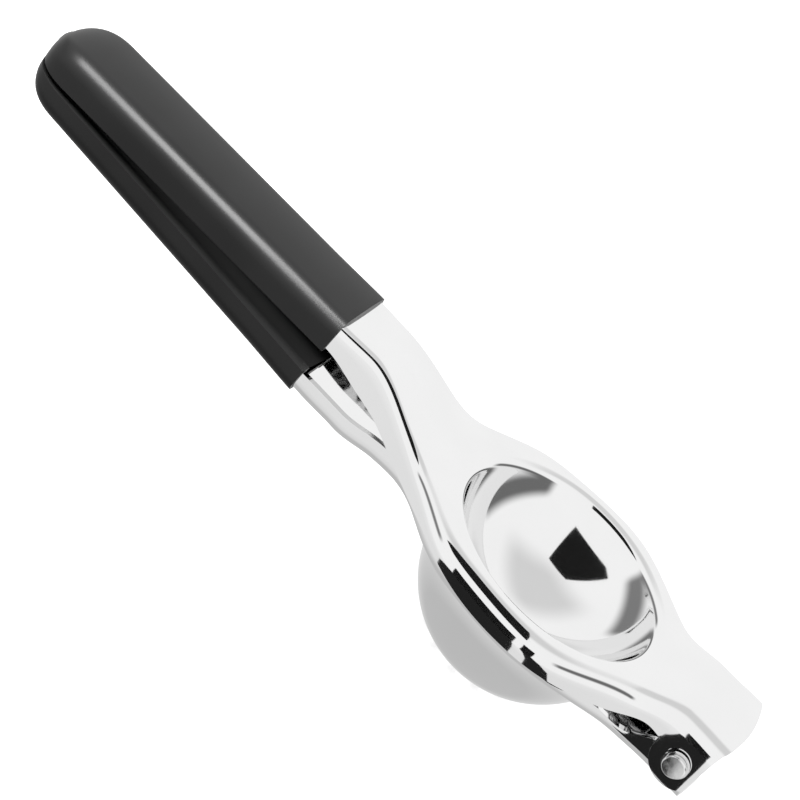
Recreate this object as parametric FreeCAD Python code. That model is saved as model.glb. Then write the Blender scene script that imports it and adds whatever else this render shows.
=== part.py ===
# Hinged lemon squeezer: two pressed steel arms, a rivet with two rings, and two handle sleeves.
# Millimetres. +X runs from the handles to the hinge, +Z is up, and the arms are closed.
# The origin is the centre of the flat under the strainer bowl, which the squeezer stands on.
# Heights are first given from the plane of the press cup's rim, and LIFT moves them to the origin.

import FreeCAD, Part
import math
import os

# Sheet and fits
SHEET = 1.5
NEST_GAP = 1.0          # across the head, between the lower arm's flanges and the upper arm's
EAR_GAP = 0.35          # between the lower arm's ears and the upper arm's
PIN_CLEARANCE = 0.05    # radial, rivet shank in every hole
SLEEVE_FIT = 0.05       # between a handle channel and its sleeve
STACK_GAP = 0.1         # along the rivet, between ear, ring and head

# Press cup of the upper arm, heights from its rim plane
CUP_RIM_RADIUS = 28.0
CUP_RIM_ROUND = 2.5
CUP_DEPTH = 19.0
RIM_PROUD = 0.06        # the drawn rim stands a hair above and below the sheet round it
RIM_LAND = 0.3

# Strainer bowl of the lower arm
BOWL_RADIUS = 26.65
BOWL_DROP = 8.0         # bowl centre below the cup's rim plane
BOWL_FLAT_RADIUS = 10.0
DRAIN_RADIUS = 1.5
INNER_RING_RADIUS = 6.0
INNER_RING_HOLES = 6
OUTER_RING_RADIUS = 12.5
OUTER_RING_HOLES = 12

# Places along the arms
HANDLE_END = -150.0
GRIP_FRONT = -67.0
NECK = -57.0
HEAD = 2.0
HINGE_END = 53.8
PIN_X = 46.4
PIN_BELOW_RIM = 7.2

# Half widths of the upper arm, outside
HANDLE_HALF = 10.7
NECK_HALF = 10.2
HEAD_HALF = 32.7
HINGE_HALF = 15.0

# Heights of the upper arm's top
HANDLE_TOP = 7.1
HINGE_TOP = 2.5

# Depth that the upper arm's flanges hang below its top
HANDLE_FLANGE = 6.3
NECK_FLANGE = 9.2
HEAD_FLANGE = 5.9

# Lower arm: heights of its underside and of its flange rims
LOWER_TILT = 3.8        # degrees, the lower handle rises towards its end
LOWER_GRIP_BOTTOM = -12.8
LOWER_HANDLE_DEPTH = 5.1
LOWER_NECK_BOTTOM = -13.3
LOWER_HEAD_BOTTOM = -9.2
LOWER_HINGE_BOTTOM = -14.8
LOWER_HEAD_RIM = -3.0
LOWER_SCALLOP = -11.2   # lowest place of the rim, just before the ears

# Bend radii, outside
HANDLE_BEND = 2.0
HEAD_BEND = 3.6
HINGE_BEND = 4.0
LOWER_BEND = 2.4

# Ears and rivet
END_ARC = 50.0          # plan radius of both arms' hinge ends
UPPER_EAR = 6.2
LOWER_EAR = 5.0
LOWER_END_BACK = 0.4    # the lower arm ends this much short of the upper one
PIN_RADIUS = 2.0
HEAD_RADIUS = 2.7
HEAD_HEIGHT = 1.0
HEAD_ROUND = 0.35
RING_RADIUS = 3.15
RING_THICKNESS = 0.5

# Sleeves
SLEEVE_WALL = 0.8
SLEEVE_CROWN = 0.9      # rise of the sleeve's back between its two edges
SLEEVE_BEND = 3.2
SLEEVE_END_WALL = 6.4
SLEEVE_END_ROUND = 8.5
SLEEVE_NOSE = 5.0       # rounding of the sleeve's end, seen from the side

STATION_STEP = 7.0      # spacing of the sections that the arms are lofted through
EDGE_STEP = 2.5         # spacing of the points that the flanges' edges are drawn through
BEYOND = 10.0           # how far the cutting blocks reach past the metal


def bowl_flat_height():
    return -BOWL_DROP - math.sqrt(BOWL_RADIUS ** 2 - BOWL_FLAT_RADIUS ** 2)


LIFT = -bowl_flat_height()
PIN_Z = LIFT - PIN_BELOW_RIM


def vec(x, y, z):
    return FreeCAD.Vector(x, y, z)


def mix(low, high, share):
    return low + (high - low) * share


def step(x, start, end):
    share = min(max((x - start) / (end - start), 0.0), 1.0)
    return share * share * (3.0 - 2.0 * share)


def through(points):
    """A smooth curve through the points, level at both ends, with no kink in its bend."""
    curve = Part.BSplineCurve()
    last = len(points) - 1
    curve.interpolate(Points=[vec(x, 0, y) for x, y in points],
                      Parameters=[x for x, y in points],
                      InitialTangent=vec(1, 0, 0), FinalTangent=vec(1, 0, 0))
    first_x, last_x = points[0][0], points[last][0]

    def value(x):
        return curve.value(min(max(x, first_x), last_x)).z

    return value


# Outline of the upper arm in plan: handle, neck, wide head round the cup, narrow hinge end
upper_half = through([
    (HANDLE_END, HANDLE_HALF),
    (GRIP_FRONT, HANDLE_HALF),
    (NECK, NECK_HALF),
    (mix(NECK, HEAD, 0.20), mix(NECK_HALF, HEAD_HALF, 0.09)),
    (mix(NECK, HEAD, 0.36), mix(NECK_HALF, HEAD_HALF, 0.24)),
    (mix(NECK, HEAD, 0.50), mix(NECK_HALF, HEAD_HALF, 0.53)),
    (mix(NECK, HEAD, 0.63), mix(NECK_HALF, HEAD_HALF, 0.80)),
    (mix(NECK, HEAD, 0.80), mix(NECK_HALF, HEAD_HALF, 0.945)),
    (HEAD, HEAD_HALF),
    (mix(HEAD, HINGE_END, 0.18), mix(HINGE_HALF, HEAD_HALF, 0.91)),
    (mix(HEAD, HINGE_END, 0.38), mix(HINGE_HALF, HEAD_HALF, 0.52)),
    (mix(HEAD, HINGE_END, 0.54), mix(HINGE_HALF, HEAD_HALF, 0.16)),
    (mix(HEAD, HINGE_END, 0.68), HINGE_HALF),
    (HINGE_END, HINGE_HALF),
])

CUP_LAND = CUP_RIM_RADIUS + RIM_LAND + 0.7      # the sheet stays level out to here, along the arm


def upper_top(x):
    down = HANDLE_TOP * (1.0 - step(x, NECK - 1.5, -CUP_LAND - 3.0))
    return down + HINGE_TOP * step(x, CUP_LAND, PIN_X - 5.0)


def upper_bend(x):
    rise = mix(HANDLE_BEND, HEAD_BEND, step(x, NECK + 10.0, -CUP_RIM_RADIUS + 14.0))
    return mix(rise, HINGE_BEND, step(x, CUP_RIM_RADIUS, PIN_X - 4.0))


# Lower edge of the upper arm's side flanges, straight along the handle and curved on to the ears
upper_flange_edge = through([
    (GRIP_FRONT, HANDLE_TOP - HANDLE_FLANGE),
    (NECK, HANDLE_TOP - NECK_FLANGE + 0.5),
    (mix(NECK, HEAD, 0.15), -HEAD_FLANGE + 2.8),
    (mix(NECK, HEAD, 0.27), -HEAD_FLANGE + 0.6),
    (mix(NECK, HEAD, 0.37), -HEAD_FLANGE - 0.4),
    (mix(NECK, HEAD, 0.59), -HEAD_FLANGE + 0.9),
    (mix(NECK, HEAD, 0.80), -HEAD_FLANGE),
    (mix(HEAD, PIN_X, 0.18), -HEAD_FLANGE),
    (mix(HEAD, PIN_X, 0.45), -HEAD_FLANGE - 1.2),
    (mix(HEAD, PIN_X, 0.63), -HEAD_FLANGE - 1.0),
    (PIN_X - UPPER_EAR - 4.0, -HEAD_FLANGE + 0.8),
    (PIN_X - UPPER_EAR + 1.0, -HEAD_FLANGE + 0.2),
])


def lower_half(x):
    gap = mix(NEST_GAP, EAR_GAP, step(x, CUP_RIM_RADIUS, PIN_X - UPPER_EAR))
    return upper_half(x) - (SHEET + gap) * step(x, NECK + 2.0, NECK + 13.0)


def lower_bottom(x):
    """Height of the lower arm's underside: a tilted handle, a level head and a deeper hinge end."""
    grip_line = LOWER_GRIP_BOTTOM - math.tan(math.radians(LOWER_TILT)) * (x - GRIP_FRONT)
    neck = mix(grip_line, LOWER_NECK_BOTTOM, step(x, GRIP_FRONT, NECK + 2.0))
    head = mix(neck, LOWER_HEAD_BOTTOM, step(x, NECK + 3.0, -CUP_LAND))
    return mix(head, LOWER_HINGE_BOTTOM, step(x, HEAD + 6.0, PIN_X - 9.0))


def lower_bend(x):
    return LOWER_BEND


lower_rim_curve = through([
    (GRIP_FRONT, LOWER_GRIP_BOTTOM + LOWER_HANDLE_DEPTH),
    (NECK, LOWER_GRIP_BOTTOM + LOWER_HANDLE_DEPTH - 0.5),
    (mix(NECK, HEAD, 0.19), LOWER_HEAD_RIM - 4.0),
    (mix(NECK, HEAD, 0.32), LOWER_HEAD_RIM - 2.2),
    (mix(NECK, HEAD, 0.49), LOWER_HEAD_RIM - 0.4),
    (mix(NECK, HEAD, 0.64), LOWER_HEAD_RIM),
    (mix(NECK, HEAD, 0.80), LOWER_HEAD_RIM),
    (HEAD, LOWER_HEAD_RIM),
    (mix(HEAD, PIN_X, 0.18), LOWER_HEAD_RIM - 0.5),
    (mix(HEAD, PIN_X, 0.38), mix(LOWER_HEAD_RIM, LOWER_SCALLOP, 0.5)),
    (mix(HEAD, PIN_X, 0.56), mix(LOWER_HEAD_RIM, LOWER_SCALLOP, 0.8)),
    (PIN_X - UPPER_EAR - 5.5, LOWER_SCALLOP),
    (PIN_X - LOWER_EAR + 0.4, LOWER_SCALLOP + 3.6),
])


def lower_rim(x):
    if x < GRIP_FRONT:
        return lower_bottom(x) + LOWER_HANDLE_DEPTH
    return lower_rim_curve(x)


def stations(start, end, spacing=STATION_STEP):
    count = int(math.ceil((end - start) / spacing))
    return [mix(start, end, i / count) for i in range(count + 1)]


def channel_section(x, half, back, bend, edge, side, sheet=SHEET):
    """A U in the plane at x. side is 1 for a back on top and -1 for a back underneath."""
    inner = bend - sheet
    k = math.sqrt(0.5)

    def p(y, depth):
        return vec(x, y, LIFT + back - side * depth)

    def corner(y_sign, radius, centre_y, centre_depth):
        return [p(y_sign * (centre_y + radius), centre_depth),
                p(y_sign * (centre_y + radius * k), centre_depth - radius * k),
                p(y_sign * centre_y, centre_depth - radius)]

    middle = half - bend
    left = corner(-1, bend, middle, bend)
    right = corner(1, bend, middle, bend)
    inner_left = corner(-1, inner, middle, bend)
    inner_right = corner(1, inner, middle, bend)
    depth = side * (back - edge)
    edges = [
        Part.makeLine(p(-half, depth), left[0]),
        Part.Arc(*left).toShape(),
        Part.makeLine(left[2], right[2]),
        Part.Arc(*reversed(right)).toShape(),
        Part.makeLine(right[0], p(half, depth)),
        Part.makeLine(p(half, depth), p(half - sheet, depth)),
        Part.makeLine(p(half - sheet, depth), inner_right[0]),
        Part.Arc(*inner_right).toShape(),
        Part.makeLine(inner_right[2], inner_left[2]),
        Part.Arc(*reversed(inner_left)).toShape(),
        Part.makeLine(inner_left[0], p(-half + sheet, depth)),
        Part.makeLine(p(-half + sheet, depth), p(-half, depth)),
    ]
    return Part.Wire(edges)


def kept_side(height, end, far_height):
    """All metal between the flange edge height(x) and a level line, from the handle's end to the ears."""
    curve = Part.BSplineCurve()
    curve.interpolate([vec(x, 0, LIFT + height(x)) for x in stations(GRIP_FRONT, end, EDGE_STEP)])
    start = HANDLE_END - BEYOND
    corners = [vec(end, 0, LIFT + height(end)), vec(end, 0, LIFT + far_height), vec(start, 0, LIFT + far_height),
               vec(start, 0, LIFT + height(start)), vec(GRIP_FRONT, 0, LIFT + height(GRIP_FRONT))]
    lines = [Part.makeLine(a, b) for a, b in zip(corners, corners[1:])]
    face = Part.Face(Part.Wire([curve.toShape()] + lines))
    reach = HEAD_HALF + BEYOND
    face.translate(vec(0, -reach, 0))
    return face.extrude(vec(0, 2.0 * reach, 0))


def block_across(start, end, low, high):
    """A block wider than the arms. low and high are heights from the cup's rim plane."""
    reach = HEAD_HALF + BEYOND
    return Part.makeBox(end - start, 2.0 * reach, high - low, vec(start, -reach, LIFT + low))


def rod_across(radius):
    """A rod on the hinge axis, longer than the arms are wide."""
    reach = HEAD_HALF + BEYOND
    return Part.makeCylinder(radius, 2.0 * reach, vec(PIN_X, -reach, PIN_Z), vec(0, 1, 0))


def pin_hole():
    return rod_across(PIN_RADIUS + PIN_CLEARANCE)


def round_end(end):
    """Everything behind the convex hinge end, seen from above."""
    reach = HEAD_HALF + BEYOND
    disc = Part.makeCylinder(END_ARC, 2.0 * reach, vec(end - END_ARC, 0, -reach))
    rest = Part.makeBox(end - HANDLE_END, 2.0 * END_ARC, 2.0 * reach, vec(HANDLE_END - BEYOND, -END_ARC, -reach))
    return disc.fuse(rest)


def revolved(edges):
    return Part.Face(Part.Wire(edges)).revolve(vec(0, 0, 0), vec(0, 0, 1), 360)


def cup():
    """The press cup: a rounded rim that runs into a shallow ball shape, one sheet thick."""
    reach = (CUP_DEPTH ** 2 + CUP_RIM_RADIUS ** 2) / (2.0 * CUP_DEPTH)
    inside = reach - CUP_RIM_ROUND
    centre = inside - CUP_DEPTH
    lean = math.atan2(centre + CUP_RIM_ROUND, CUP_RIM_RADIUS)
    top = LIFT + RIM_PROUD
    under = LIFT - SHEET - RIM_PROUD

    def ball(radius, angle):
        return vec(radius * math.cos(angle), 0, LIFT + centre - radius * math.sin(angle))

    def rim(radius, angle):
        return vec(CUP_RIM_RADIUS - radius * math.cos(angle), 0, LIFT - CUP_RIM_ROUND + radius * math.sin(angle))

    thin = CUP_RIM_ROUND - SHEET
    mid = 0.5 * (lean + math.pi / 2)
    land = CUP_RIM_RADIUS + RIM_LAND
    outer_ball = inside + SHEET
    edges = [
        Part.Arc(ball(inside, math.pi / 2), ball(inside, mid), ball(inside, lean)).toShape(),
        Part.Arc(ball(inside, lean), rim(CUP_RIM_ROUND, mid), rim(CUP_RIM_ROUND, math.pi / 2)).toShape(),
        Part.makeLine(rim(CUP_RIM_ROUND, math.pi / 2), vec(CUP_RIM_RADIUS, 0, top)),
        Part.makeLine(vec(CUP_RIM_RADIUS, 0, top), vec(land, 0, top)),
        Part.makeLine(vec(land, 0, top), vec(land, 0, under)),
        Part.makeLine(vec(land, 0, under), vec(CUP_RIM_RADIUS, 0, under)),
        Part.makeLine(vec(CUP_RIM_RADIUS, 0, under), rim(thin, math.pi / 2)),
        Part.Arc(rim(thin, math.pi / 2), rim(thin, mid), ball(outer_ball, lean)).toShape(),
        Part.Arc(ball(outer_ball, lean), ball(outer_ball, mid), ball(outer_ball, math.pi / 2)).toShape(),
        Part.makeLine(ball(outer_ball, math.pi / 2), ball(inside, math.pi / 2)),
    ]
    return revolved(edges)


def lofted_channel(half, back, bend, edge, side):
    """A straight handle, then one smooth skin from the grip's front to the hinge."""
    def section(x):
        return channel_section(x, half(x), back(x), bend(x), edge, side)

    slope = vec(GRIP_FRONT - HANDLE_END, 0, back(GRIP_FRONT) - back(HANDLE_END))
    handle = Part.Face(section(HANDLE_END)).extrude(slope)
    rest = Part.makeLoft([section(x) for x in stations(GRIP_FRONT, HINGE_END)], True, False)
    return handle.fuse(rest)


def upper_arm():
    over = HANDLE_TOP + BEYOND
    channel = lofted_channel(upper_half, upper_top, upper_bend, -PIN_BELOW_RIM - UPPER_EAR - 1.0, 1)
    edge_end = PIN_X - UPPER_EAR + 1.0
    kept = kept_side(upper_flange_edge, edge_end, over)
    ear_root = block_across(edge_end, PIN_X, upper_flange_edge(edge_end), over)
    ear_end = block_across(PIN_X, HINGE_END + BEYOND, -PIN_BELOW_RIM, over)
    arm = channel.common(kept.fuse([rod_across(UPPER_EAR), ear_root, ear_end]))
    arm = arm.common(round_end(HINGE_END))
    opening = Part.makeCylinder(CUP_RIM_RADIUS, 4.0 * SHEET, vec(0, 0, LIFT - 2.0 * SHEET))
    arm = arm.cut(opening).fuse(cup())
    return arm.cut(pin_hole())


def bowl():
    """The strainer bowl: a ball shape one sheet thick with a small flat underneath."""
    height = -BOWL_DROP
    flat = bowl_flat_height()
    flat_angle = math.asin(BOWL_FLAT_RADIUS / BOWL_RADIUS)
    inside = BOWL_RADIUS - SHEET
    inside_flat = math.sqrt(inside ** 2 - (height - flat - SHEET) ** 2)
    inside_angle = math.asin(inside_flat / inside)

    def ball(radius, angle):
        return vec(radius * math.sin(angle), 0, LIFT + height - radius * math.cos(angle))

    level = math.pi / 2
    collar = LIFT + LOWER_HEAD_BOTTOM + SHEET + 0.2
    edges = [
        Part.makeLine(vec(0, 0, LIFT + flat), ball(BOWL_RADIUS, flat_angle)),
        Part.Arc(ball(BOWL_RADIUS, flat_angle), ball(BOWL_RADIUS, 0.5 * (flat_angle + level)),
                 ball(BOWL_RADIUS, level)).toShape(),
        Part.makeLine(ball(BOWL_RADIUS, level), vec(BOWL_RADIUS, 0, collar)),
        Part.makeLine(vec(BOWL_RADIUS, 0, collar), vec(inside, 0, collar)),
        Part.makeLine(vec(inside, 0, collar), ball(inside, level)),
        Part.Arc(ball(inside, level), ball(inside, 0.5 * (inside_angle + level)),
                 ball(inside, inside_angle)).toShape(),
        Part.makeLine(ball(inside, inside_angle), vec(0, 0, LIFT + flat + SHEET)),
        Part.makeLine(vec(0, 0, LIFT + flat + SHEET), vec(0, 0, LIFT + flat)),
    ]
    return revolved(edges)


def drain_holes():
    holes = []
    for ring_radius, count in ((INNER_RING_RADIUS, INNER_RING_HOLES), (OUTER_RING_RADIUS, OUTER_RING_HOLES)):
        for i in range(count):
            angle = 2.0 * math.pi * i / count
            place = vec(ring_radius * math.cos(angle), ring_radius * math.sin(angle), -SHEET)
            holes.append(Part.makeCylinder(DRAIN_RADIUS, 0.5 * BOWL_RADIUS, place))
    return holes


def lower_arm():
    under = LOWER_HINGE_BOTTOM - BEYOND
    channel = lofted_channel(lower_half, lower_bottom, lower_bend, LOWER_HEAD_RIM + 2.0, -1)
    edge_end = PIN_X - LOWER_EAR + 0.4
    kept = kept_side(lower_rim, edge_end, under)
    ear_root = block_across(edge_end, PIN_X, under, -PIN_BELOW_RIM - 1.0)
    ear_end = block_across(PIN_X, HINGE_END + BEYOND, under, -PIN_BELOW_RIM)
    arm = channel.common(kept.fuse([rod_across(LOWER_EAR), ear_root, ear_end]))
    arm = arm.common(round_end(HINGE_END - LOWER_END_BACK))
    opening = Part.makeCylinder(BOWL_RADIUS - 0.3 * SHEET, BOWL_RADIUS, vec(0, 0, LIFT - BOWL_RADIUS))
    room = Part.makeLoft([room_section(x) for x in stations(NECK, HINGE_END)], True, False)
    arm = arm.cut(opening).fuse(bowl().cut(room))
    return arm.cut(drain_holes() + [pin_hole()])


def room_section(x):
    """The free space inside the lower arm's channel, in the plane at x."""
    half = lower_half(x) - SHEET - 0.2
    floor = LIFT + lower_bottom(x) + SHEET + RIM_PROUD
    points = [vec(x, -half, floor), vec(x, half, floor), vec(x, half, LIFT), vec(x, -half, LIFT)]
    return Part.makePolygon(points + points[:1])


def rivet():
    stack = HINGE_HALF + STACK_GAP + RING_THICKNESS + STACK_GAP
    shank = Part.makeCylinder(PIN_RADIUS, 2.0 * stack, vec(PIN_X, -stack, PIN_Z), vec(0, 1, 0))
    heads = []
    for sign in (-1, 1):
        head = Part.makeCylinder(HEAD_RADIUS, HEAD_HEIGHT, vec(PIN_X, sign * stack, PIN_Z), vec(0, sign, 0))
        rim = [e for e in head.Edges if abs(e.CenterOfMass.y) > stack + 0.9 * HEAD_HEIGHT and len(e.Vertexes) == 1]
        heads.append(head.makeFillet(HEAD_ROUND, rim))
    return shank.fuse(heads)


def rings():
    solids = []
    for sign in (-1, 1):
        base = vec(PIN_X, sign * (HINGE_HALF + STACK_GAP), PIN_Z)
        ring = Part.makeCylinder(RING_RADIUS, RING_THICKNESS, base, vec(0, sign, 0))
        hole = Part.makeCylinder(PIN_RADIUS + PIN_CLEARANCE, RING_THICKNESS, base, vec(0, sign, 0))
        solids.append(ring.cut(hole))
    return Part.makeCompound(solids)


def sleeve_section(x, half, back, depth, side):
    """A U with a crowned back, thick enough to hold the channel's sheet in its middle."""
    outer = half + SLEEVE_WALL
    inner = half - SHEET - SLEEVE_WALL
    bend = SLEEVE_BEND
    k = math.sqrt(0.5)
    low = depth + SLEEVE_WALL

    def p(y, down):
        return vec(x, y, LIFT + back - side * down)

    edges = [
        Part.makeLine(p(-outer, low), p(-outer, bend - SLEEVE_WALL)),
        Part.Arc(p(-outer, bend - SLEEVE_WALL), p(-outer + bend * (1 - k), -SLEEVE_WALL + bend * (1 - k)),
                 p(-outer + bend, -SLEEVE_WALL)).toShape(),
        Part.Arc(p(-outer + bend, -SLEEVE_WALL), p(0, -SLEEVE_WALL - SLEEVE_CROWN),
                 p(outer - bend, -SLEEVE_WALL)).toShape(),
        Part.Arc(p(outer - bend, -SLEEVE_WALL), p(outer - bend * (1 - k), -SLEEVE_WALL + bend * (1 - k)),
                 p(outer, bend - SLEEVE_WALL)).toShape(),
        Part.makeLine(p(outer, bend - SLEEVE_WALL), p(outer, low)),
        Part.makeLine(p(outer, low), p(inner, low)),
        Part.makeLine(p(inner, low), p(inner, SHEET + SLEEVE_WALL)),
        Part.makeLine(p(inner, SHEET + SLEEVE_WALL), p(-inner, SHEET + SLEEVE_WALL)),
        Part.makeLine(p(-inner, SHEET + SLEEVE_WALL), p(-inner, low)),
        Part.makeLine(p(-inner, low), p(-outer, low)),
    ]
    return Part.Wire(edges)


def sleeve(back, edge, bend, side, tilt):
    """A moulded sleeve with a pocket for the handle channel and a rounded end."""
    end = HANDLE_END - SLEEVE_END_WALL
    depth = side * (back(end) - edge(end))
    run = GRIP_FRONT - end
    slope = (back(GRIP_FRONT) - back(end)) / run
    body = Part.Face(sleeve_section(end, HANDLE_HALF, back(end), depth, side)).extrude(vec(run, 0, slope * run))
    start = HANDLE_END - SLEEVE_FIT
    grown = channel_section(start, HANDLE_HALF + SLEEVE_FIT, back(start) + side * SLEEVE_FIT,
                            bend(start) + SLEEVE_FIT, edge(start) - side * SLEEVE_FIT, side,
                            SHEET + 2.0 * SLEEVE_FIT)
    pocket = Part.Face(grown).extrude(vec(run, 0, slope * run))
    return body.cut(pocket).common(plan_end(end)).common(nose(end, back(end), side, tilt))


def plan_end(end):
    """The sleeve's outline from above, with its end corners rounded."""
    half = HANDLE_HALF + SLEEVE_WALL
    tall = 2.0 * (HEAD_HALF + BEYOND)
    box = Part.makeBox(GRIP_FRONT - end, 2.0 * half, tall, vec(end, -half, -0.5 * tall))
    corners = [e for e in box.Edges if e.CenterOfMass.isEqual(vec(end, math.copysign(half, e.CenterOfMass.y), 0), 0.01)]
    return box.makeFillet(SLEEVE_END_ROUND, corners)


def nose(end, back, side, tilt):
    """The sleeve's outline from the side, with its outer end corner rounded."""
    reach = HANDLE_HALF + BEYOND
    tall = HEAD_HALF
    top = LIFT + back + side * (SLEEVE_WALL + SLEEVE_CROWN)
    low = top - tall if side > 0 else top
    box = Part.makeBox(GRIP_FRONT - end + BEYOND, 2.0 * reach, tall, vec(end, -reach, low))
    corner = [e for e in box.Edges if e.CenterOfMass.isEqual(vec(end, 0, top), 0.01)]
    rounded = box.makeFillet(SLEEVE_NOSE, corner)
    rounded.rotate(vec(end, 0, top), vec(0, 1, 0), tilt)
    return rounded


def export(name, shape):
    shape.exportStep("parts/" + name + ".step")
    solids = shape.Solids
    print(name, len(solids), "solids, volume %.0f" % sum(s.Volume for s in solids), "valid", shape.isValid())


os.makedirs("parts", exist_ok=True)
export("upper_arm", upper_arm())
export("lower_arm", lower_arm())
export("hinge_pin", rivet())
export("hinge_washers", rings())
export("upper_grip", sleeve(upper_top, upper_flange_edge, upper_bend, 1, 0.0))
export("lower_grip", sleeve(lower_bottom, lower_rim, lower_bend, -1, LOWER_TILT))
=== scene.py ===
import math

import bmesh
import bpy
from mathutils import Matrix, Vector


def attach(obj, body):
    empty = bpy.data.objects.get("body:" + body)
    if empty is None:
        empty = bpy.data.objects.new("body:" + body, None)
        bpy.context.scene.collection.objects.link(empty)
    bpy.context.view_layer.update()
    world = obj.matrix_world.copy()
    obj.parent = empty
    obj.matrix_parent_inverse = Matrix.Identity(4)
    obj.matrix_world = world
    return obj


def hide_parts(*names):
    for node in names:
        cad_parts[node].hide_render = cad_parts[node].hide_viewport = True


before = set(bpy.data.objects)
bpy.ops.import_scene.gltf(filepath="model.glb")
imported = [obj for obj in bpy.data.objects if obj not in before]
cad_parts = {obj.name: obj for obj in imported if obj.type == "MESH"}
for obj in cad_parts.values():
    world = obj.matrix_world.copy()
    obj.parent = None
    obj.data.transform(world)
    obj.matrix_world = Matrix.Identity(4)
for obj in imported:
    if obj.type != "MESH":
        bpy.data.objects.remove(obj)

# Lengths are in millimetres, apart from the lamps' and the materials', and MM turns them into metres.
# Heights of the two arms are given from the plane of the press cup's rim, and LIFT is that plane's height.
MM = 0.001
LIFT = 32.7027

# Sheet and hinge, as in the part
SHEET = 1.5
NEST_GAP = 1.0
EAR_GAP = 0.35
PIN_X = 46.4
PIN_HEIGHT = -7.2
HOLE_RADIUS = 2.05
END_ARC = 50.0
HINGE_END = 53.8
UPPER_EAR = 6.2
LOWER_EAR = 5.0
LOWER_END_BACK = 0.4

# Handle, neck, head and hinge end along the arms
HANDLE_END = -73.0          # the rest of each handle is hidden in its sleeve
GRIP_FRONT = -67.0
NECK = -57.0
HEAD = 2.0
FLAT_HALF = 29.0            # the web round the cup is level this far to each side of its centre

# Half widths, heights and bends of the upper arm
HANDLE_HALF = 10.7
NECK_HALF = 10.2
HEAD_HALF = 32.7
HINGE_HALF = 15.0
HANDLE_TOP = 7.1
HINGE_TOP = 2.5
HANDLE_FLANGE = 6.3
NECK_FLANGE = 9.2
HEAD_FLANGE = 5.9
HANDLE_BEND = 2.0
HEAD_BEND = 3.6
HINGE_BEND = 4.0

# Heights and bend of the lower arm
LOWER_TILT = math.radians(3.8)
LOWER_GRIP_BOTTOM = -12.8
LOWER_HANDLE_DEPTH = 5.1
LOWER_NECK_BOTTOM = -13.3
LOWER_HEAD_BOTTOM = -9.2
LOWER_HINGE_BOTTOM = -14.8
LOWER_HEAD_RIM = -3.0
LOWER_SCALLOP = -11.2
LOWER_BEND = 2.4

# Press cup and strainer bowl
CUP_RIM_RADIUS = 28.0
CUP_RIM_ROUND = 2.5
CUP_DEPTH = 19.0
BOWL_RADIUS = 26.65
BOWL_DROP = 8.0
BOWL_FLAT_RADIUS = 10.0
DRAIN_RADIUS = 1.5
DRAIN_RINGS = ((6.0, 6), (12.5, 12))

# Sleeves
SLEEVE_END = -156.3
SLEEVE_HALF = 11.5
SLEEVE_WALL = 0.8
SLEEVE_CROWN = 0.85
SLEEVE_BEND = 3.2           # at the sleeve's mouth
SLEEVE_SOFT_BEND = 3.8      # along the rest of it
SLEEVE_BEND_RUN = 16.0      # length over which the one turns into the other
SLEEVE_THICK = 3.1          # the sheet with a wall of the sleeve on both sides
SLEEVE_ROUND = 11.0         # length of the rounded end
SLEEVE_NOSE = 5.0           # how far the back drops at the end
SLEEVE_WIDTH_POWER = 2.6    # squareness of the rounded end, seen from above
SLEEVE_HEIGHT_POWER = 2.2   # and seen from the side
SLEEVE_LEAST_SHARE = 0.25   # of the sleeve's width that is left at the very end

# Steps of the meshes, and the distances between sections along the arms and sleeves
BEND_STEPS = 8
WEB_STEPS = 24
FLANGE_STEPS = 3
NECK_SPACING = 0.8
HEAD_SPACING = 0.9
HINGE_SPACING = 0.7
EAR_STEPS = 18
HINGE_END_STEPS = 14
LEVEL_STEPS = 4
RIM_STEPS = 12
CUP_STEPS = 44
BOWL_STEPS = 40
BOWL_FLAT_STEPS = 5
MEET_TRIES = 8
HOLE_SEGMENTS = 48
SLEEVE_SPACING = 2.0
SLEEVE_ROUND_STEPS = 22
SLEEVE_WALL_STEPS = 3
SLEEVE_BEND_STEPS = 12
SLEEVE_CROWN_STEPS = 20

# Broken edges and creases
SHEET_EDGE = 0.18
SLEEVE_EDGE = 0.35
BEVEL_ANGLE = math.radians(50.0)
CREASE_ANGLE = math.radians(22.0)

# Camera: distance from the middle of the cup's rim, direction, roll and sideways shift
CAMERA_DISTANCE = 511.456
CAMERA_YAW = 0.09132
CAMERA_ELEVATION = 0.5354
CAMERA_ROLL = 0.74412
CAMERA_RIGHT = -35.0907
CAMERA_UP = 33.5964
LENS = 108.0
SENSOR = 36.0
CLIP_START = 10.0

# Floor and even light
FLOOR_HALF = 3000.0
FLOOR_GLOW = 0.74
WORLD_LEVEL = 0.6

# The studio that the steel and the sleeves mirror: its brightness by elevation, and cards seen in it.
# A card has its brightness, its soft edge in degrees, and its corners as azimuths and elevations.
FULL_LEVEL = 1.0
LOW_LEVEL = 0.55
LEVEL_START = -0.85         # height of a direction where the low level ends
LEVEL_END = -0.35           # height of a direction where the full level begins
CARDS = (
    (0.72, 12.0, ((10.0, 50.0), (90.0, 44.0), (170.0, 50.0), (-90.0, 74.0))),       # the dimmer ceiling
    (0.16, 5.0, ((-34.0, 4.0), (36.0, 4.0), (36.0, 19.0), (-34.0, 19.0))),          # the room on the right
    (0.22, 5.0, ((147.0, 6.0), (208.0, 6.0), (208.0, 21.0), (147.0, 21.0))),        # the room on the left
)

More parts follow.
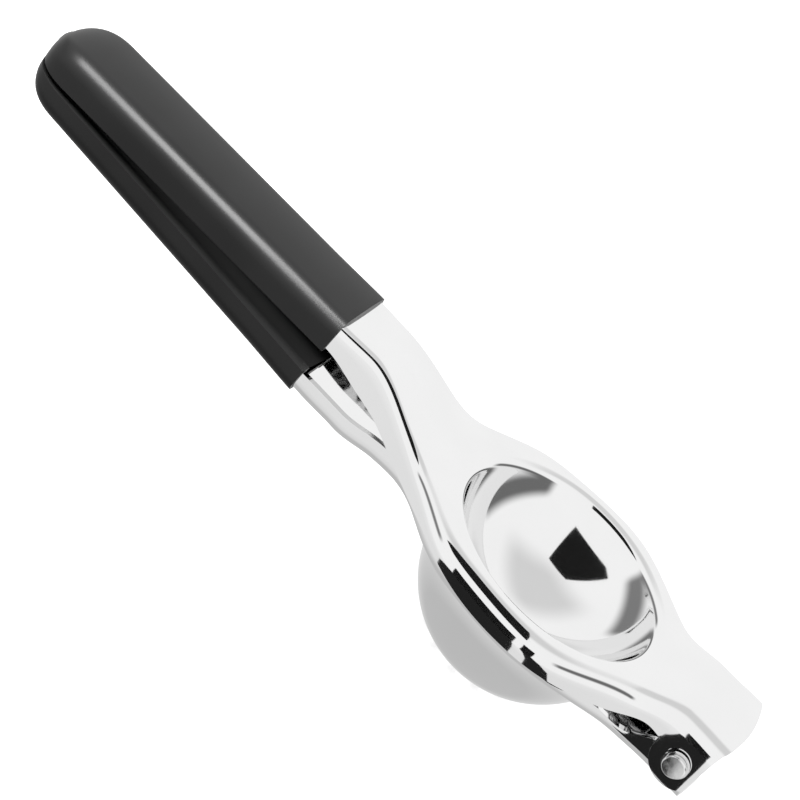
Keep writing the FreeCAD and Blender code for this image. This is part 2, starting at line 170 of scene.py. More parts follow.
# Dark cards round the squeezer, as outlines seen from above. Only mirrors show them.
# One makes the dark streak along the head's flange, one the dark ear, and the high one the cup's dark spot.
HEAD_CARD = ((-54.0, -56.0), (13.0, -62.0), (13.0, -100.0), (-54.0, -100.0))
EAR_CARD = ((34.0, -30.0), (53.0, -30.0), (50.0, -100.0), (26.0, -100.0))
HEAD_CARD_RISE = 48.0       # height of the upright part behind the far side of each low card
EAR_CARD_RISE = 50.0
LOW_CARD_HEIGHT = 0.2
CUP_CARD = ((34.0, -116.0), (14.0, -14.0), (-22.0, -8.0), (-100.0, -58.0), (-84.0, -84.0))
CUP_CARD_HEIGHT = 123.0

# Lamps: place, aim, width and length in metres, and power in watts
KEY_LAMP = ((-0.25, -0.15, 0.80), (-0.03, 0.0, 0.0), 0.60, 0.60, 5.0)
SLEEVE_LAMP = ((-0.11, -0.24, 0.50), (-0.11, 0.0, 0.03), 0.55, 0.30, 26.0)

BODY_OF = {"upper_arm": "upper_half", "upper_grip": "upper_half", "lower_arm": "lower_half",
           "lower_grip": "lower_half"}


def note_size():
    """Brings the scene's placements up to date."""
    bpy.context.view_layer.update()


note_size()


# Curves
def mix(low, high, share):
    return low + (high - low) * share


def step(x, start, end):
    share = min(max((x - start) / (end - start), 0.0), 1.0)
    return share * share * (3.0 - 2.0 * share)


def through(points):
    """A cubic spline through the points, level at both ends."""
    count = len(points)
    xs = [p[0] for p in points]
    ys = [p[1] for p in points]
    gaps = [xs[i + 1] - xs[i] for i in range(count - 1)]
    rises = [(ys[i + 1] - ys[i]) / gaps[i] for i in range(count - 1)]
    upper = [0.5]
    value = [3.0 * rises[0] / gaps[0]]
    for i in range(1, count):
        left = gaps[i - 1]
        right = gaps[i] if i < count - 1 else 0.0
        bend = rises[i] - rises[i - 1] if i < count - 1 else -rises[i - 1]
        pivot = 2.0 * (left + right) - left * upper[-1]
        value.append((6.0 * bend - left * value[-1]) / pivot)
        upper.append(right / pivot)
    curve = [0.0] * count
    curve[-1] = value[-1]
    for i in range(count - 2, -1, -1):
        curve[i] = value[i] - upper[i] * curve[i + 1]

    def at(x):
        x = min(max(x, xs[0]), xs[-1])
        i = max(j for j in range(count - 1) if xs[j] <= x or j == 0)
        h = gaps[i]
        a, b = xs[i + 1] - x, x - xs[i]
        return ((curve[i] * a ** 3 + curve[i + 1] * b ** 3) / (6.0 * h)
                + (ys[i] / h - curve[i] * h / 6.0) * a + (ys[i + 1] / h - curve[i + 1] * h / 6.0) * b)

    return at


upper_half = through([
    (GRIP_FRONT, HANDLE_HALF),
    (NECK, NECK_HALF),
    (mix(NECK, HEAD, 0.20), mix(NECK_HALF, HEAD_HALF, 0.09)),
    (mix(NECK, HEAD, 0.36), mix(NECK_HALF, HEAD_HALF, 0.24)),
    (mix(NECK, HEAD, 0.50), mix(NECK_HALF, HEAD_HALF, 0.53)),
    (mix(NECK, HEAD, 0.63), mix(NECK_HALF, HEAD_HALF, 0.80)),
    (mix(NECK, HEAD, 0.80), mix(NECK_HALF, HEAD_HALF, 0.945)),
    (HEAD, HEAD_HALF),
    (mix(HEAD, HINGE_END, 0.18), mix(HINGE_HALF, HEAD_HALF, 0.91)),
    (mix(HEAD, HINGE_END, 0.38), mix(HINGE_HALF, HEAD_HALF, 0.52)),
    (mix(HEAD, HINGE_END, 0.54), mix(HINGE_HALF, HEAD_HALF, 0.16)),
    (mix(HEAD, HINGE_END, 0.68), HINGE_HALF),
    (HINGE_END, HINGE_HALF),
])


def upper_top(x):
    down = HANDLE_TOP * (1.0 - step(x, NECK - 1.5, -FLAT_HALF - 3.0))
    return down + HINGE_TOP * step(x, FLAT_HALF, PIN_X - 5.0)


def upper_bend(x):
    rise = mix(HANDLE_BEND, HEAD_BEND, step(x, NECK + 10.0, -CUP_RIM_RADIUS + 14.0))
    return mix(rise, HINGE_BEND, step(x, CUP_RIM_RADIUS, PIN_X - 4.0))


upper_flange_curve = through([
    (GRIP_FRONT, HANDLE_TOP - HANDLE_FLANGE),
    (NECK, HANDLE_TOP - NECK_FLANGE + 0.5),
    (mix(NECK, HEAD, 0.15), -HEAD_FLANGE + 2.8),
    (mix(NECK, HEAD, 0.27), -HEAD_FLANGE + 0.6),
    (mix(NECK, HEAD, 0.37), -HEAD_FLANGE - 0.4),
    (mix(NECK, HEAD, 0.59), -HEAD_FLANGE + 0.9),
    (mix(NECK, HEAD, 0.80), -HEAD_FLANGE),
    (mix(HEAD, PIN_X, 0.18), -HEAD_FLANGE),
    (mix(HEAD, PIN_X, 0.45), -HEAD_FLANGE - 1.2),
    (mix(HEAD, PIN_X, 0.63), -HEAD_FLANGE - 1.0),
    (PIN_X - UPPER_EAR - 4.0, -HEAD_FLANGE + 0.8),
    (PIN_X - UPPER_EAR + 1.0, -HEAD_FLANGE + 0.2),
])

lower_rim_curve = through([
    (GRIP_FRONT, LOWER_GRIP_BOTTOM + LOWER_HANDLE_DEPTH),
    (NECK, LOWER_GRIP_BOTTOM + LOWER_HANDLE_DEPTH - 0.5),
    (mix(NECK, HEAD, 0.19), LOWER_HEAD_RIM - 4.0),
    (mix(NECK, HEAD, 0.32), LOWER_HEAD_RIM - 2.2),
    (mix(NECK, HEAD, 0.49), LOWER_HEAD_RIM - 0.4),
    (mix(NECK, HEAD, 0.64), LOWER_HEAD_RIM),
    (mix(NECK, HEAD, 0.80), LOWER_HEAD_RIM),
    (HEAD, LOWER_HEAD_RIM),
    (mix(HEAD, PIN_X, 0.18), LOWER_HEAD_RIM - 0.5),
    (mix(HEAD, PIN_X, 0.38), mix(LOWER_HEAD_RIM, LOWER_SCALLOP, 0.5)),
    (mix(HEAD, PIN_X, 0.56), mix(LOWER_HEAD_RIM, LOWER_SCALLOP, 0.8)),
    (PIN_X - UPPER_EAR - 5.5, LOWER_SCALLOP),
    (PIN_X - LOWER_EAR + 0.4, LOWER_SCALLOP + 3.6),
])


def disc_edge(x, radius):
    """How far up or down from the hinge axis a round ear reaches at x, or None outside it."""
    off = radius * radius - (x - PIN_X) ** 2
    return math.sqrt(off) if off > 0.0 else None


def upper_edge(x):
    reach = disc_edge(x, UPPER_EAR)
    if reach is not None:
        return PIN_HEIGHT - reach
    return PIN_HEIGHT if x > PIN_X else upper_flange_curve(x)


def lower_half(x):
    gap = mix(NEST_GAP, EAR_GAP, step(x, CUP_RIM_RADIUS, PIN_X - UPPER_EAR))
    return upper_half(x) - (SHEET + gap) * step(x, NECK + 2.0, NECK + 13.0)


def lower_bottom(x):
    grip_line = LOWER_GRIP_BOTTOM - math.tan(LOWER_TILT) * (x - GRIP_FRONT)
    neck = mix(grip_line, LOWER_NECK_BOTTOM, step(x, GRIP_FRONT, NECK + 2.0))
    head = mix(neck, LOWER_HEAD_BOTTOM, step(x, NECK + 3.0, -FLAT_HALF))
    return mix(head, LOWER_HINGE_BOTTOM, step(x, HEAD + 6.0, PIN_X - 9.0))


def lower_bend(_):
    """The same all along the lower arm."""
    return LOWER_BEND


def lower_edge(x):
    reach = disc_edge(x, LOWER_EAR)
    if reach is not None:
        return PIN_HEIGHT + reach
    if x > PIN_X:
        return PIN_HEIGHT
    if x < GRIP_FRONT:
        return lower_bottom(x) + LOWER_HANDLE_DEPTH
    return lower_rim_curve(x)


# Mesh helpers
def stations(start, end, spacing):
    count = max(1, math.ceil((end - start) / spacing))
    return [mix(start, end, i / count) for i in range(count + 1)]


def long_stations(ear):
    """Places along an arm where its sections are drawn, closest together at the ear, of the given radius."""
    places = [HANDLE_END]
    places += stations(GRIP_FRONT, -FLAT_HALF, NECK_SPACING)
    places += stations(-FLAT_HALF, FLAT_HALF, HEAD_SPACING)[1:]
    places += stations(FLAT_HALF, PIN_X - ear, HINGE_SPACING)[1:]
    places += [PIN_X - ear * math.cos(math.radians(90.0 * i / EAR_STEPS)) for i in range(1, EAR_STEPS)]
    places += [PIN_X]
    return places


def section(x, half, back, bend, edge, side):
    """Points of the outer skin at x, from one flange's edge over the web to the other flange's edge."""
    middle = half(x) - bend(x)
    corner = back(x) - side * bend(x)
    left = [(-half(x), mix(edge(x), corner, i / FLANGE_STEPS)) for i in range(FLANGE_STEPS)]
    for i in range(BEND_STEPS + 1):
        turn = math.radians(90.0 * i / BEND_STEPS)
        left.append((-middle - bend(x) * math.cos(turn), corner + side * bend(x) * math.sin(turn)))
    web = [(mix(-middle, middle, i / WEB_STEPS), back(x)) for i in range(1, WEB_STEPS)]
    right = [(-y, z) for y, z in reversed(left)]
    return left + web + right


def end_of(y, end):
    """Where the rounded hinge end of an arm lies at y."""
    return end - END_ARC + math.sqrt(END_ARC ** 2 - y * y)


def add_skin(bm, half, back, bend, edge, side, ear, end):
    """The arm's outer skin without its round middle. Gives back the edge of the opening, in order."""
    rows = []
    places = long_stations(ear)
    for x in places:
        rows.append([bm.verts.new((x, y, z)) for y, z in section(x, half, back, bend, edge, side)])
    for i in range(1, HINGE_END_STEPS + 1):
        share = i / HINGE_END_STEPS
        row = []
        straight = section(mix(PIN_X, end, share), half, back, bend, edge, side)
        for y, z in straight:
            x = mix(PIN_X, end_of(y, end), share)
            row.append([x, y, z])
        low = edge(row[0][0])
        for j in range(FLANGE_STEPS):
            corner = row[FLANGE_STEPS][2]
            row[j][2] = mix(low, corner, j / FLANGE_STEPS)
            row[-1 - j][2] = row[j][2]
        rows.append([bm.verts.new(p) for p in row])
    side_count = FLANGE_STEPS + BEND_STEPS
    first = places.index(-FLAT_HALF)
    last = places.index(FLAT_HALF)
    for i in range(len(rows) - 1):
        inside = first <= i < last
        for j in range(len(rows[0]) - 1):
            if inside and side_count <= j < len(rows[0]) - 1 - side_count:
                continue
            bm.faces.new((rows[i][j], rows[i + 1][j], rows[i + 1][j + 1], rows[i][j + 1]))
    near = [rows[i][side_count] for i in range(first, last + 1)]
    far = [rows[i][-1 - side_count] for i in range(first, last + 1)]
    front = rows[last][side_count + 1:-1 - side_count]
    rear = rows[first][side_count + 1:-1 - side_count]
    for i in range(first + 1, last):
        for j in range(side_count + 1, len(rows[0]) - 1 - side_count):
            bm.verts.remove(rows[i][j])
    return near + front + far[::-1] + rear[::-1]


def add_rings(bm, loop, ring_points):
    """Fills the opening with rings. ring_points(angle, vertex) gives the points from loop to middle."""
    columns = []
    for v in loop:
        angle = math.atan2(v.co.y, v.co.x)
        columns.append([v] + [bm.verts.new(p) for p in ring_points(angle, v)])
    centre_height = columns[0][-1].co.z
    depth = len(columns[0])
    for a, b in zip(columns, columns[1:] + columns[:1]):
        for i in range(depth - 1):
            bm.faces.new((a[i], b[i], b[i + 1], a[i + 1]))
    centre = bm.verts.new((0.0, 0.0, centre_height))
    for a, b in zip(columns, columns[1:] + columns[:1]):
        bm.faces.new((a[-1], b[-1], centre))


def cup_points(angle, rim_vertex):
    """Level sheet, rounded rim and ball shape of the press cup, along one direction."""
    reach = (CUP_DEPTH ** 2 + CUP_RIM_RADIUS ** 2) / (2.0 * CUP_DEPTH)
    ball = reach - CUP_RIM_ROUND
    centre = ball - CUP_DEPTH
    lean = math.atan2(centre + CUP_RIM_ROUND, CUP_RIM_RADIUS)
    outer = rim_vertex.co.xy.length
    profile = [(mix(outer, CUP_RIM_RADIUS, i / LEVEL_STEPS), 0.0) for i in range(1, LEVEL_STEPS + 1)]
    for i in range(1, RIM_STEPS + 1):
        turn = mix(math.pi / 2, lean, i / RIM_STEPS)
        profile.append((CUP_RIM_RADIUS - CUP_RIM_ROUND * math.cos(turn),
                        -CUP_RIM_ROUND + CUP_RIM_ROUND * math.sin(turn)))
    for i in range(1, CUP_STEPS):
        turn = mix(lean, math.pi / 2, i / CUP_STEPS)
        profile.append((ball * math.cos(turn), centre - ball * math.sin(turn)))
    return [(r * math.cos(angle), r * math.sin(angle), z) for r, z in profile]


def bowl_points(angle, rim_vertex):
    """Underside of the sheet, ball shape and flat of the strainer bowl, along one direction."""
    outer = rim_vertex.co.xy.length
    meet = BOWL_RADIUS
    for _ in range(MEET_TRIES):
        drop = -BOWL_DROP - lower_bottom(meet * math.cos(angle))
        meet = math.sqrt(max(BOWL_RADIUS ** 2 - max(drop, 0.0) ** 2, 1.0))
    profile = []
    for i in range(1, LEVEL_STEPS + 1):
        r = mix(outer, meet, i / LEVEL_STEPS)
        profile.append((r, lower_bottom(r * math.cos(angle))))
    start = math.asin(min(meet / BOWL_RADIUS, 1.0))
    flat = math.asin(BOWL_FLAT_RADIUS / BOWL_RADIUS)
    for i in range(1, BOWL_STEPS + 1):
        turn = mix(start, flat, i / BOWL_STEPS)
        profile.append((BOWL_RADIUS * math.sin(turn), -BOWL_DROP - BOWL_RADIUS * math.cos(turn)))
    bottom = profile[-1][1]
    for i in range(1, BOWL_FLAT_STEPS):
        profile.append((BOWL_FLAT_RADIUS * (1.0 - i / BOWL_FLAT_STEPS), bottom))
    return [(r * math.cos(angle), r * math.sin(angle), z) for r, z in profile]


def link_mesh(bm, name):
    """Puts the mesh into the scene as an object."""
    mesh = bpy.data.meshes.new(name)
    bm.to_mesh(mesh)
    bm.free()
    obj = bpy.data.objects.new(name, mesh)
    bpy.context.scene.collection.objects.link(obj)
    return obj


def to_object(bm, name):
    """An object from a mesh that was drawn in the arms' own lengths."""
    for v in bm.verts:
        v.co = Vector((v.co.x, v.co.y, v.co.z + LIFT)) * MM
    bmesh.ops.recalc_face_normals(bm, faces=bm.faces)
    return link_mesh(bm, name)


def apply_modifiers(obj):
    graph = bpy.context.evaluated_depsgraph_get()
    made = bpy.data.meshes.new_from_object(obj.evaluated_get(graph))
    obj.modifiers.clear()
    obj.data = made


def smooth(obj):
    """Smooth faces, with a crease wherever two faces turn by more than CREASE_ANGLE."""
    bm = bmesh.new()
    bm.from_mesh(obj.data)
    for face in bm.faces:
        face.smooth = True
    for edge in bm.edges:
        edge.smooth = len(edge.link_faces) == 2 and edge.calc_face_angle() < CREASE_ANGLE
    bm.to_mesh(obj.data)
    bm.free()


def rod(name, radius, start, end):
    """A cutting cylinder between two points, in the arms' own lengths."""
    a = Vector((start[0], start[1], start[2] + LIFT)) * MM
    b = Vector((end[0], end[1], end[2] + LIFT)) * MM
    bm = bmesh.new()
    bmesh.ops.create_cone(bm, cap_ends=True, segments=HOLE_SEGMENTS,
                          radius1=radius * MM, radius2=radius * MM, depth=(b - a).length)
    bm.transform(Matrix.Translation((a + b) / 2) @ (b - a).to_track_quat("Z", "Y").to_matrix().to_4x4())
    return link_mesh(bm, name)


def cut(obj, cutters):
    for cutter in cutters:
        hole = obj.modifiers.new("hole", "BOOLEAN")
        hole.operation = "DIFFERENCE"
        hole.solver = "EXACT"
        hole.object = cutter
    apply_modifiers(obj)
    for cutter in cutters:
        bpy.data.objects.remove(cutter)


def thicken(obj):
    solid = obj.modifiers.new("sheet", "SOLIDIFY")
    solid.thickness = SHEET * MM
    solid.offset = -1.0
    solid.use_even_offset = False
    apply_modifiers(obj)


def soften(obj, width):
    bevel = obj.modifiers.new("edge", "BEVEL")
    bevel.width = width * MM
    bevel.segments = 2
    bevel.limit_method = "ANGLE"
    bevel.angle_limit = BEVEL_ANGLE
    apply_modifiers(obj)


def pin_cutter():
    reach = HINGE_HALF + 4.0    # clear of the ears on both sides
    return rod("pin_cutter", HOLE_RADIUS, (PIN_X, -reach, PIN_HEIGHT), (PIN_X, reach, PIN_HEIGHT))


def drain_cutters():
    cutters = []
    for radius, count in DRAIN_RINGS:
        for i in range(count):
            turn = 2.0 * math.pi * i / count
            x, y = radius * math.cos(turn), radius * math.sin(turn)
            low = (x, y, -LIFT - SHEET)
            high = (x, y, -LIFT + BOWL_RADIUS / 2)
            cutters.append(rod("drain_cutter", DRAIN_RADIUS, low, high))
    return cutters


def facing_out(obj, upward):
    """Turns the faces so that the skin's outer side looks up on the upper arm and down on the lower one."""
    bm = bmesh.new()
    bm.from_mesh(obj.data)
    total = sum((f.normal.z * f.calc_area() for f in bm.faces), 0.0)
    if (total > 0.0) != upward:
        bmesh.ops.reverse_faces(bm, faces=bm.faces)
    bm.to_mesh(obj.data)
    bm.free()


def make_upper_arm():
    bm = bmesh.new()
    loop = add_skin(bm, upper_half, upper_top, upper_bend, upper_edge, 1, UPPER_EAR, HINGE_END)
    add_rings(bm, loop, cup_points)
    arm = to_object(bm, "pressed_upper_arm")
    facing_out(arm, True)
    thicken(arm)
    soften(arm, SHEET_EDGE)
    cut(arm, [pin_cutter()])
    smooth(arm)
    return arm


def make_lower_arm():
    bm = bmesh.new()
    loop = add_skin(bm, lower_half, lower_bottom, lower_bend, lower_edge, -1, LOWER_EAR,
                    HINGE_END - LOWER_END_BACK)
    add_rings(bm, loop, bowl_points)
    arm = to_object(bm, "pressed_lower_arm")
    facing_out(arm, False)
    thicken(arm)
    soften(arm, SHEET_EDGE)
    cut(arm, [pin_cutter()] + drain_cutters())
    smooth(arm)
    return arm


# Sleeve meshes
def end_share(x, power):
    """How much of the sleeve's width or height is left at x, along its rounded end."""
    along = max(0.0, 1.0 - (x - SLEEVE_END) / SLEEVE_ROUND)
    return max((1.0 - along ** power) ** (1.0 / power), SLEEVE_LEAST_SHARE)


def sleeve_section(x, back, edge, side):
    """A U with a crowned back and thick walls, as a closed loop of points."""
    share = end_share(x, SLEEVE_WIDTH_POWER)
    half = SLEEVE_HALF * share
    thick = min(SLEEVE_THICK, 0.45 * half)
    top = back(x) + side * (SLEEVE_WALL - SLEEVE_NOSE * (1.0 - end_share(x, SLEEVE_HEIGHT_POWER)))
    low = edge(x) - side * SLEEVE_WALL
    tall = abs(top - low)
    bend = mix(SLEEVE_SOFT_BEND, SLEEVE_BEND, step(x, GRIP_FRONT - SLEEVE_BEND_RUN, GRIP_FRONT))
    bend = min(bend, 0.6 * half, 0.8 * tall)
    middle = half - bend
    wall = [(half, mix(low, top - side * bend, i / SLEEVE_WALL_STEPS)) for i in range(SLEEVE_WALL_STEPS)]
    corner = []
    for i in range(SLEEVE_BEND_STEPS + 1):
        turn = math.radians(90.0 * i / SLEEVE_BEND_STEPS)
        corner.append((middle + bend * math.cos(turn), top - side * bend * (1.0 - math.sin(turn))))
    crown = [(middle * (1.0 - 2.0 * i / SLEEVE_CROWN_STEPS), top) for i in range(1, SLEEVE_CROWN_STEPS)]
    lifted = []
    for y, z in wall + corner + crown + [(-y, z) for y, z in reversed(wall + corner)]:
        rise = SLEEVE_CROWN * share * (1.0 - (y / half) ** 2) * step(abs(z - low), 0.0, tall)
        lifted.append((y, z + side * rise))
    deep = top - side * min(thick, 0.6 * tall)
    inside = [(-half + thick, low), (-half + thick, deep), (half - thick, deep), (half - thick, low)]
    return lifted + inside


def make_sleeve(name, back, edge, side):
    bm = bmesh.new()
    turns = [math.radians(90.0 * i / SLEEVE_ROUND_STEPS) for i in range(SLEEVE_ROUND_STEPS + 1)]
    places = [SLEEVE_END + SLEEVE_ROUND * (1.0 - math.cos(turn)) for turn in turns]
    places += stations(places[-1], GRIP_FRONT, SLEEVE_SPACING)[1:]
    rows = [[bm.verts.new((x, y, z)) for y, z in sleeve_section(x, back, edge, side)] for x in places]
    for a, b in zip(rows, rows[1:]):
        for i in range(len(a)):
            j = (i + 1) % len(a)
            bm.faces.new((a[i], a[j], b[j], b[i]))
    bm.faces.new(rows[0][::-1])
    bm.faces.new(rows[-1])
    bmesh.ops.triangulate(bm, faces=[f for f in bm.faces if len(f.verts) > 4])
    sleeve = to_object(bm, name)
    soften(sleeve, SLEEVE_EDGE)
    smooth(sleeve)
    return sleeve


# Materials
def new_material(name):
    material = bpy.data.materials.new(name)
    material.use_nodes = True
    shader = material.node_tree.nodes["Principled BSDF"]
    return material, material.node_tree, shader


def object_coords(tree):
    return tree.nodes.new("ShaderNodeTexCoord").outputs["Object"]


def noise(tree, scale, detail, coords):
    node = tree.nodes.new("ShaderNodeTexNoise")
    node.inputs["Scale"].default_value = scale
    node.inputs["Detail"].default_value = detail
    tree.links.new(coords, node.inputs["Vector"])
    return node.outputs["Fac"]


def between(tree, source, low, high):
    """A value from low to high that follows a noise."""
    node = tree.nodes.new("ShaderNodeMapRange")
    node.inputs["From Min"].default_value = 0.3
    node.inputs["From Max"].default_value = 0.7
    node.inputs["To Min"].default_value = low
    node.inputs["To Max"].default_value = high
    tree.links.new(source, node.inputs["Value"])
    return node.outputs["Result"]


def two_greys(tree, factor, dark, light):
    node = tree.nodes.new("ShaderNodeMix")
    node.data_type = "RGBA"
    node.inputs["A"].default_value = (dark, dark, dark, 1.0)
    node.inputs["B"].default_value = (light, light, light, 1.0)
    tree.links.new(factor, node.inputs["Factor"])
    return node.outputs["Result"]


def bumped(tree, shader, source, distance, strength):
    node = tree.nodes.new("ShaderNodeBump")
    node.inputs["Distance"].default_value = distance
    node.inputs["Strength"].default_value = strength
    tree.links.new(source, node.inputs["Height"])
    tree.links.new(node.outputs["Normal"], shader.inputs["Normal"])


def polished_steel():
    """Mirror-polished sheet with faint polishing haze and the slight waviness of a pressed surface."""
    material, tree, shader = new_material("polished_steel")
    coords = object_coords(tree)
    haze = noise(tree, 60.0, 4.0, coords)
    shader.inputs["Metallic"].default_value = 1.0
    tree.links.new(two_greys(tree, haze, 0.84, 0.90), shader.inputs["Base Color"])
    tree.links.new(between(tree, haze, 0.035, 0.075), shader.inputs["Roughness"])
    wave = noise(tree, 45.0, 1.0, coords)
    bumped(tree, shader, wave, 0.00004, 0.5)
    return material


def rivet_steel():
    """Turned steel of the rivet and its rings, with fine turning marks."""
    material, tree, shader = new_material("rivet_steel")
    coords = object_coords(tree)
    marks = noise(tree, 900.0, 2.0, coords)
    shader.inputs["Metallic"].default_value = 1.0
    tree.links.new(two_greys(tree, marks, 0.74, 0.86), shader.inputs["Base Color"])
    tree.links.new(between(tree, marks, 0.10, 0.18), shader.inputs["Roughness"])
    bumped(tree, shader, marks, 0.000003, 0.2)
    return material


def black_sleeve():
    """Glossy black moulded sleeve with a very light orange-peel surface."""
    material, tree, shader = new_material("black_sleeve")
    coords = object_coords(tree)
    cloud = noise(tree, 35.0, 3.0, coords)
    tree.links.new(two_greys(tree, cloud, 0.003, 0.006), shader.inputs["Base Color"])
    tree.links.new(between(tree, cloud, 0.30, 0.35), shader.inputs["Roughness"])
    shader.inputs["Specular IOR Level"].default_value = 0.12
    peel = noise(tree, 700.0, 1.0, coords)
    bumped(tree, shader, peel, 0.000004, 0.2)
    return material


def dress(obj, material):
    obj.data.materials.clear()
    obj.data.materials.append(material)


# Studio
def view_axes():
    """The camera's right, up and backward directions, with its roll."""
    cy, sy = math.cos(CAMERA_YAW), math.sin(CAMERA_YAW)
    ce, se = math.cos(CAMERA_ELEVATION), math.sin(CAMERA_ELEVATION)
    back = Vector((sy * ce, -cy * ce, se))
    right = Vector((cy, sy, 0.0))
    up = back.cross(right)
    cr, sr = math.cos(CAMERA_ROLL), math.sin(CAMERA_ROLL)
    return cr * right + sr * up, cr * up - sr * right, back


def make_camera():
    right, up, back = view_axes()
    place = CAMERA_RIGHT * right + CAMERA_UP * up + CAMERA_DISTANCE * back + Vector((0.0, 0.0, LIFT))
    data = bpy.data.cameras.new("camera")
    data.lens = LENS
    data.sensor_width = SENSOR
    data.clip_start = CLIP_START * MM
    camera = bpy.data.objects.new("camera", data)
    turn = Matrix((right, up, back)).transposed().to_4x4()
    camera.matrix_world = Matrix.Translation(place * MM) @ turn
    bpy.context.scene.collection.objects.link(camera)
    bpy.context.scene.camera = camera


def make_lamp(name, place, aim, width, length, power):
    """A lamp whose lengths are in metres."""
    data = bpy.data.lights.new(name, "AREA")
    data.shape = "RECTANGLE"
    data.size = width
    data.size_y = length
    data.energy = power
    lamp = bpy.data.objects.new(name, data)
    lamp.location = place
    lamp.rotation_mode = "QUATERNION"
    lamp.rotation_quaternion = (Vector(aim) - Vector(place)).to_track_quat("-Z", "Y")
    bpy.context.scene.collection.objects.link(lamp)
    return lamp


def joined(tree, operation, values):
    """One value from several, two at a time."""
    total = values[0]
    for value in values[1:]:
        both = tree.nodes.new("ShaderNodeMath")
        both.operation = operation
        tree.links.new(total, both.inputs[0])
        tree.links.new(value, both.inputs[1])
        total = both.outputs[0]
    return total


def is_ray(tree, names):
    """1 for the named kinds of ray and 0 for the rest."""
    path = tree.nodes.new("ShaderNodeLightPath")
    return joined(tree, "MAXIMUM", [path.outputs[name] for name in names])


def make_floor():
    """A plain pale floor that shows white and still takes the object's shadow."""
    bm = bmesh.new()
    bmesh.ops.create_grid(bm, x_segments=1, y_segments=1, size=FLOOR_HALF * MM)
    floor = link_mesh(bm, "floor")
    material, tree, shader = new_material("floor")
    shader.inputs["Base Color"].default_value = (0.8, 0.8, 0.8, 1.0)
    shader.inputs["Roughness"].default_value = 1.0
    shader.inputs["Specular IOR Level"].default_value = 0.0
    shader.inputs["Emission Color"].default_value = (1.0, 1.0, 1.0, 1.0)
    camera_only = tree.nodes.new("ShaderNodeMath")
    camera_only.operation = "MULTIPLY"
    camera_only.inputs[1].default_value = FLOOR_GLOW
    tree.links.new(is_ray(tree, ["Is Camera Ray"]), camera_only.inputs[0])
    tree.links.new(camera_only.outputs[0], shader.inputs["Emission Strength"])
    floor.data.materials.append(material)
    floor.visible_glossy = False


def show_in_mirrors_only(name, bm):
    """A dark card that casts no shadow and that only mirrors show."""
    card = link_mesh(bm, name)
    material, _, shader = new_material(name)
    shader.inputs["Base Color"].default_value = (0.015, 0.015, 0.015, 1.0)
    shader.inputs["Roughness"].default_value = 1.0
    shader.inputs["Specular IOR Level"].default_value = 0.0
    card.data.materials.append(material)
    card.visible_camera = False
    card.visible_diffuse = False
    card.visible_shadow = False


def make_low_card(name, outline, rise):
    """A card on the floor, with an upright part along its far side."""
    bm = bmesh.new()
    flat = [bm.verts.new((x * MM, y * MM, LOW_CARD_HEIGHT * MM)) for x, y in outline]
    raised = [bm.verts.new((x * MM, y * MM, rise * MM)) for x, y in outline[2:]]
    bm.faces.new(flat)
    bm.faces.new((flat[2], flat[3], raised[1], raised[0]))
    show_in_mirrors_only(name, bm)


def make_cup_card():
    bm = bmesh.new()
    bm.faces.new([bm.verts.new((x * MM, y * MM, CUP_CARD_HEIGHT * MM)) for x, y in CUP_CARD])
    show_in_mirrors_only("cup_card", bm)


def towards(azimuth, elevation):
    """The direction at an azimuth and an elevation in degrees."""
    turn = math.radians(azimuth)
    lift = math.radians(elevation)
    return Vector((math.cos(lift) * math.cos(turn), math.cos(lift) * math.sin(turn), math.sin(lift)))


def card_mask(tree, direction, edge, corners):
    """1 where a direction falls inside the card's corners and 0 beside them, with a soft edge."""
    points = [towards(*corner) for corner in corners]
    middle = sum(points, Vector())
    sides = []
    for first, second in zip(points, points[1:] + points[:1]):
        normal = first.cross(second).normalized()
        if normal.dot(middle) < 0.0:
            normal = -normal
        along = tree.nodes.new("ShaderNodeVectorMath")
        along.operation = "DOT_PRODUCT"
        along.inputs[1].default_value = normal
        tree.links.new(direction, along.inputs[0])
        inside = tree.nodes.new("ShaderNodeMapRange")
        inside.interpolation_type = "SMOOTHSTEP"
        inside.inputs["From Min"].default_value = -math.radians(edge)
        inside.inputs["From Max"].default_value = math.radians(edge)
        tree.links.new(along.outputs["Value"], inside.inputs["Value"])
        sides.append(inside.outputs["Result"])
    return joined(tree, "MULTIPLY", sides)


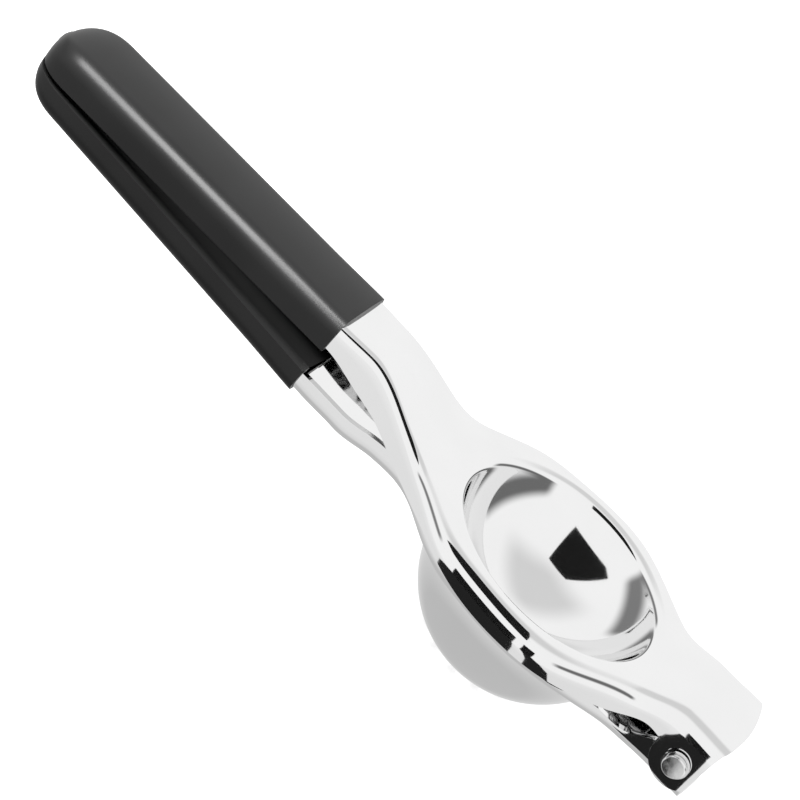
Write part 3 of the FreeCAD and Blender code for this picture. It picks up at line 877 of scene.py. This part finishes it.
def make_world():
    """Even white light, which mirrors show as a white studio with a few darker cards in it."""
    world = bpy.data.worlds.new("studio")
    world.use_nodes = True
    tree = world.node_tree
    background = tree.nodes["Background"]
    direction = tree.nodes.new("ShaderNodeTexCoord").outputs["Generated"]
    split = tree.nodes.new("ShaderNodeSeparateXYZ")
    tree.links.new(direction, split.inputs[0])
    level = tree.nodes.new("ShaderNodeMapRange")
    level.inputs["From Min"].default_value = LEVEL_START
    level.inputs["From Max"].default_value = LEVEL_END
    level.inputs["To Min"].default_value = LOW_LEVEL
    level.inputs["To Max"].default_value = FULL_LEVEL
    tree.links.new(split.outputs["Z"], level.inputs["Value"])
    seen = level.outputs["Result"]
    for brightness, edge, corners in CARDS:
        blend = tree.nodes.new("ShaderNodeMix")
        blend.data_type = "FLOAT"
        tree.links.new(card_mask(tree, direction, edge, corners), blend.inputs["Factor"])
        tree.links.new(seen, blend.inputs["A"])
        blend.inputs["B"].default_value = brightness
        seen = blend.outputs["Result"]
    mirrored = tree.nodes.new("ShaderNodeMix")
    mirrored.data_type = "FLOAT"
    tree.links.new(is_ray(tree, ["Is Glossy Ray", "Is Transmission Ray"]), mirrored.inputs["Factor"])
    mirrored.inputs["A"].default_value = WORLD_LEVEL
    tree.links.new(seen, mirrored.inputs["B"])
    tree.links.new(mirrored.outputs["Result"], background.inputs["Strength"])
    background.inputs["Color"].default_value = (1.0, 1.0, 1.0, 1.0)
    bpy.context.scene.world = world


def light_only(lamp, objects):
    """The lamp lights these objects alone."""
    group = bpy.data.collections.new(lamp.name + "_receivers")
    for obj in objects:
        group.objects.link(obj)
    lamp.light_linking.receiver_collection = group


def main():
    steel = polished_steel()
    rivet = rivet_steel()
    sleeve = black_sleeve()
    upper_sleeve = make_sleeve("moulded_upper_sleeve", upper_top, upper_edge, 1)
    lower_sleeve = make_sleeve("moulded_lower_sleeve", lower_bottom, lower_edge, -1)
    for made, node, material, slot_name in (
            (make_upper_arm(), "upper_arm", steel, "polished_steel"),
            (make_lower_arm(), "lower_arm", steel, "polished_steel"),
            (upper_sleeve, "upper_grip", sleeve, "black_sleeve"),
            (lower_sleeve, "lower_grip", sleeve, "black_sleeve")):
        dress(made, material)
        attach(made, BODY_OF[node])
        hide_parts(node)
    for node in ("hinge_pin", "hinge_washers"):
        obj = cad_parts[node]
        obj.data.materials.clear()
        obj.data.materials.append(rivet)
    make_floor()
    make_low_card("head_card", HEAD_CARD, HEAD_CARD_RISE)
    make_low_card("ear_card", EAR_CARD, EAR_CARD_RISE)
    make_cup_card()
    make_world()
    key = make_lamp("key", *KEY_LAMP)
    key.visible_glossy = False
    strip = make_lamp("sleeve_strip", *SLEEVE_LAMP)
    strip.data.diffuse_factor = 0.0
    light_only(strip, [upper_sleeve, lower_sleeve])
    make_camera()
    bpy.context.scene.view_settings.view_transform = "Standard"


main()
note_size()
